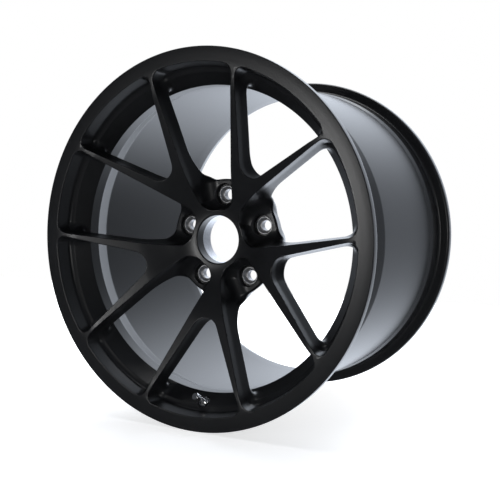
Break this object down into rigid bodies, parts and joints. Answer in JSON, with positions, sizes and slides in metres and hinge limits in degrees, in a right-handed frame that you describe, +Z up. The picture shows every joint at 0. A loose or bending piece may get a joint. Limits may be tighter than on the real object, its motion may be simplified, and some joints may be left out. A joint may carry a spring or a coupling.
{
  "type": "racing wheel rim",
  "caption": "Forged racing wheel rim with split Y spokes, a deep barrel, a pocketed hub with a centring ring, pressed lug seats and a screw-capped tyre valve.",
  "frame": {"origin": "centre of the rim, on the wheel's axis, halfway between the two flange faces", "axes": "+Z up; the wheel's axis lies along Y, with the spoke face looking along -Y and the open barrel along +Y; the valve is at the bottom, towards -Z"},
  "size_m": [0.5216, 0.359, 0.5216],
  "materials": {
    "black_coat": "satin",
    "seat_steel": "satin",
    "ring_aluminium": "satin",
    "valve_nickel": "gloss",
    "core_brass": "satin",
    "seal_rubber": "matte"
  },
  "bodies": {
    "wheel": {"rim_front_flange": "black_coat", "rim_drop_well": "black_coat", "rim_barrel": "black_coat", "rim_rear_flange": "black_coat", "hub_bore_ring": "black_coat", "lug_boss_1": "black_coat", "lug_boss_2": "black_coat", "lug_boss_3": "black_coat", "lug_boss_4": "black_coat", "lug_boss_5": "black_coat", "spoke_1": "black_coat", "spoke_2": "black_coat", "spoke_3": "black_coat", "spoke_4": "black_coat", "spoke_5": "black_coat", "lug_seat_1": "seat_steel", "lug_seat_2": "seat_steel", "lug_seat_3": "seat_steel", "lug_seat_4": "seat_steel", "lug_seat_5": "seat_steel", "hub_centring_ring": "ring_aluminium", "valve_stem": "valve_nickel", "valve_seal_outer": "seal_rubber", "valve_seal_inner": "seal_rubber", "valve_washer": "valve_nickel", "valve_nut": "valve_nickel", "valve_core_body": "core_brass", "valve_core_seal": "seal_rubber", "valve_core_spring": "seat_steel"},
    "core_pin": {"valve_core_pin": "core_brass"},
    "cap_gasket": {"valve_cap_gasket": "seal_rubber"},
    "cap": {"valve_cap": "valve_nickel"}
  },
  "joints": [
    {"name": "core_pin_press", "type": "slide", "parent": "wheel", "child": "core_pin", "axis": [0, 0.8678, -0.497], "range_m": [0, 0.0012], "stiffness_N_per_m": 400, "springref_m": -0.002, "deforming": ["valve_core_spring"]},
    {"name": "cap_lift", "type": "slide", "parent": "wheel", "child": "cap_gasket", "axis": [0, -0.8678, 0.497], "range_m": [0, 0.00635]},
    {"name": "cap_turn", "type": "hinge", "parent": "cap_gasket", "child": "cap", "pos_m": [0, -0.16546, -0.21652], "axis": [0, -0.8678, 0.497], "range_deg": [0, 2880]}
  ],
  "couplings": [
    {"joint": "cap_turn", "follows": "cap_lift", "rad_per_m": 7913.3}
  ]
}
